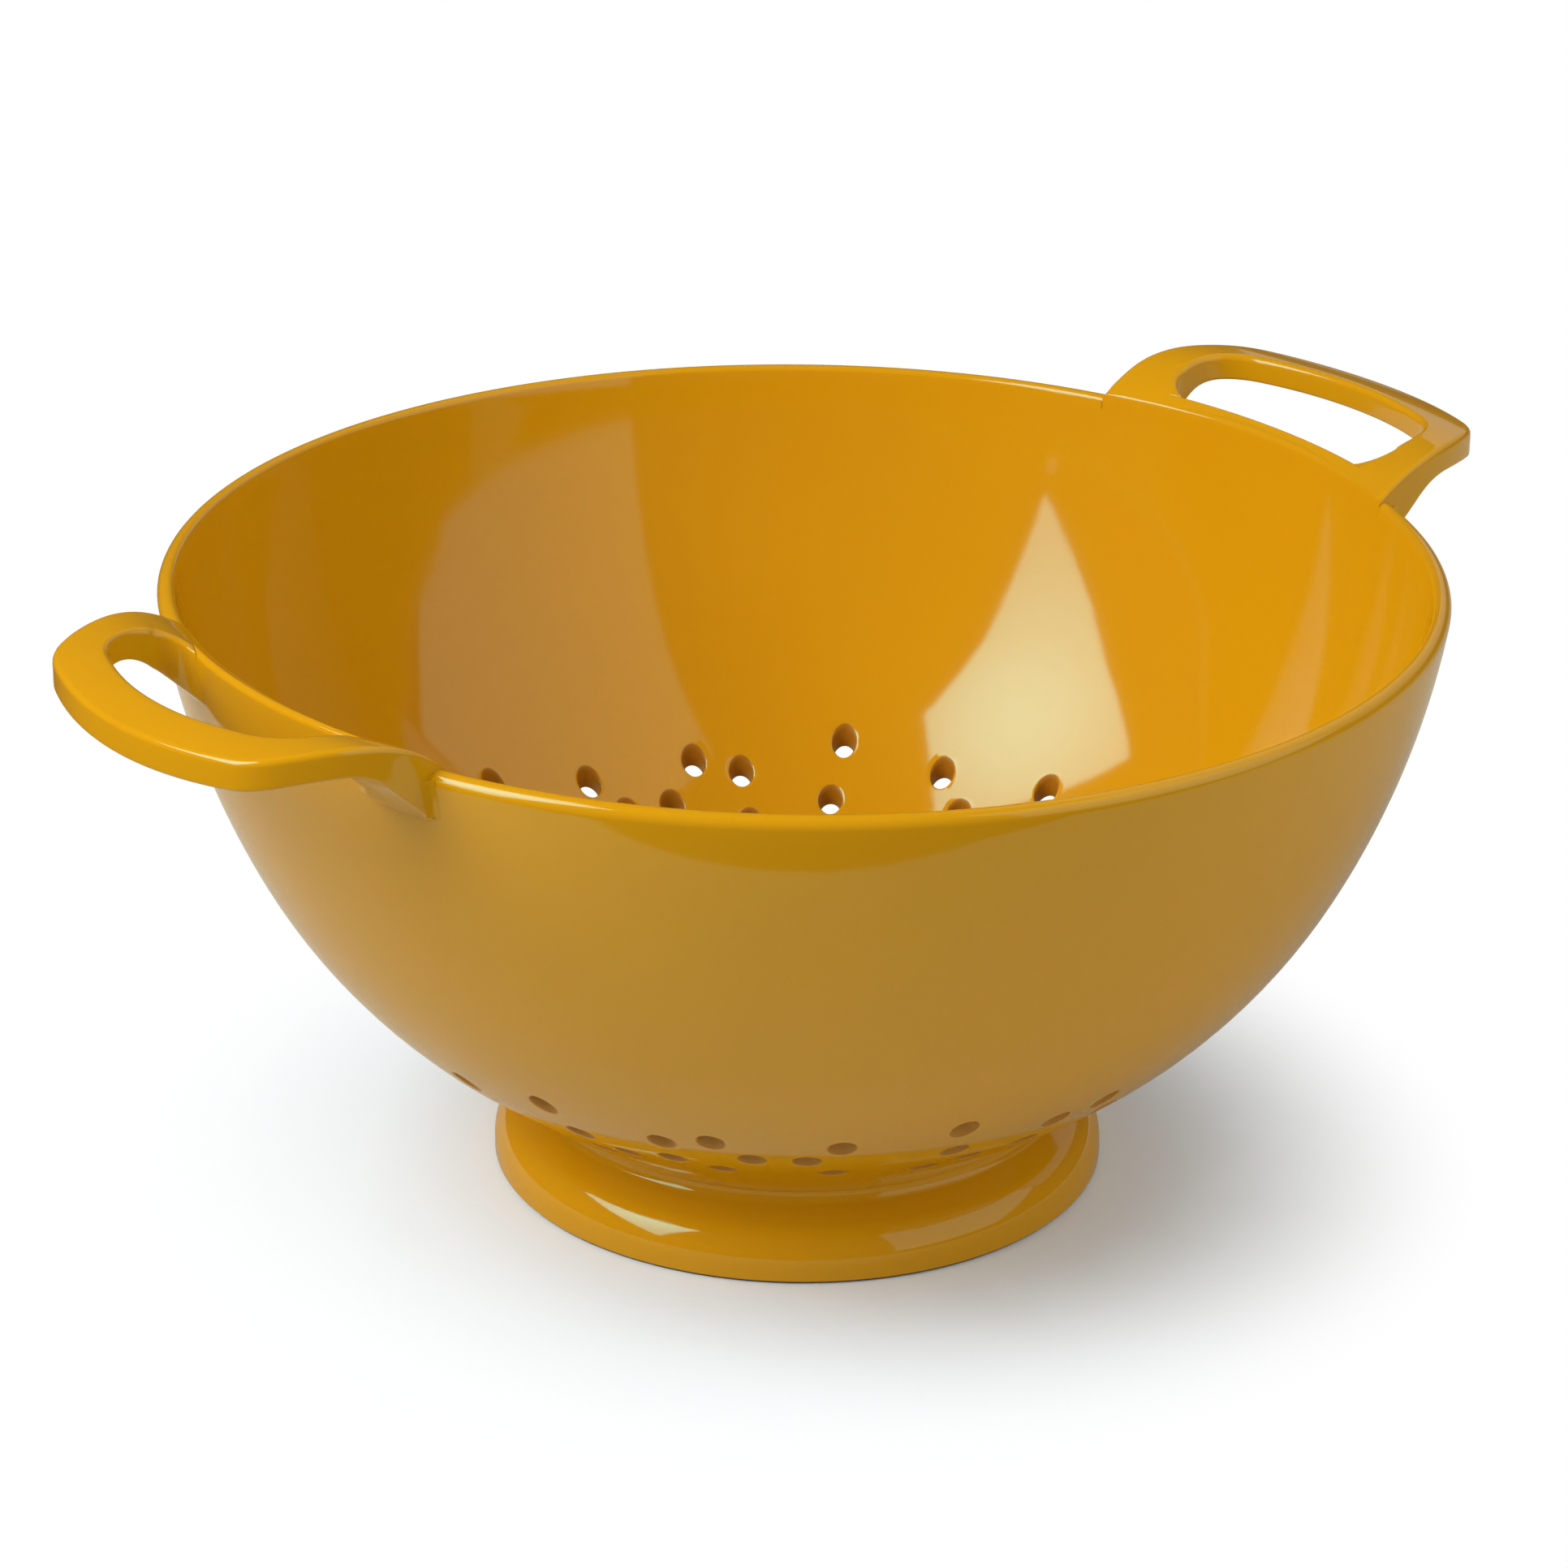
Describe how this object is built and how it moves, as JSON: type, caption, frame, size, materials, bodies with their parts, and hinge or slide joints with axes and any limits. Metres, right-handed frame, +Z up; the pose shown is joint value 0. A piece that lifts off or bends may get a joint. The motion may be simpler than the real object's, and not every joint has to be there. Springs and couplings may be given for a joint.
{
  "type": "melamine colander",
  "caption": "Deep round melamine colander with a flared foot, a looped handle on each side and drain holes scattered round its lower wall, for draining and rinsing food.",
  "frame": {"origin": "middle of the foot's circle, on the surface that the colander stands on", "axes": "+X towards the right handle, the far one in the picture; +Y along the rim at right angles to the handles; +Z up out of the bowl"},
  "size_m": [0.3004, 0.24, 0.1276],
  "materials": {
    "bowl": "high gloss mustard melamine",
    "handle_left": "high gloss mustard melamine",
    "handle_right": "high gloss mustard melamine",
    "foot": "high gloss mustard melamine",
    "non_slip_ring": "matt dark grey-brown"
  },
  "bodies": {
    "root": {"bowl": "bowl", "handle_left": "handle_left", "handle_right": "handle_right", "foot": "foot", "non_slip_ring": "non_slip_ring"}
  },
  "joints": []
}
